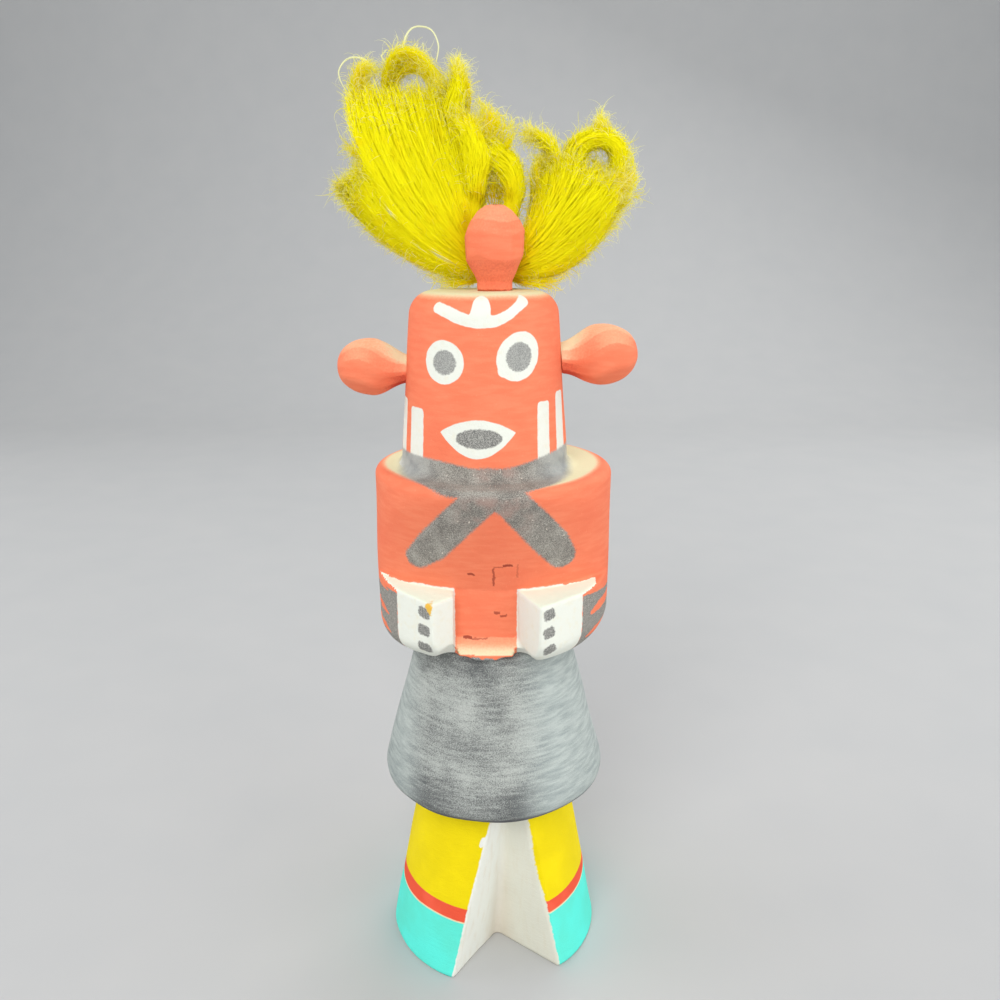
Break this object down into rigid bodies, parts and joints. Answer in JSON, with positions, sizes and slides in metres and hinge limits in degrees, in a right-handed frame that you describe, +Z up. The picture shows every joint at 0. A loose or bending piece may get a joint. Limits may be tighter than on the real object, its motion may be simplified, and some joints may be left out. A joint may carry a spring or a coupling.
{
  "type": "carved wooden kachina doll",
  "caption": "Small carved and painted wooden doll that stands on its own base, with whittled ears, a top knob and a dyed feather tuft.",
  "frame": {"origin": "centre of the turned stick on the flat underside of the legs", "axes": "+Z up along the stick, -Y out of the doll's face, +X to the right of someone looking at the face"},
  "size_m": [0.0682, 0.0552, 0.2148],
  "materials": {
    "painted_wood": "matte poster paint in red, white, grey, yellow and turquoise over carved wood",
    "red_painted_wood": "matte red paint over whittled wood",
    "dyed_feather": "fluffy marabou feather dyed bright yellow, with paler tips"
  },
  "bodies": {
    "root": {"body": "painted_wood", "ear_left": "red_painted_wood", "ear_right": "red_painted_wood", "top_knob": "red_painted_wood", "plume_left": "dyed_feather", "plume_right": "dyed_feather"}
  },
  "joints": []
}
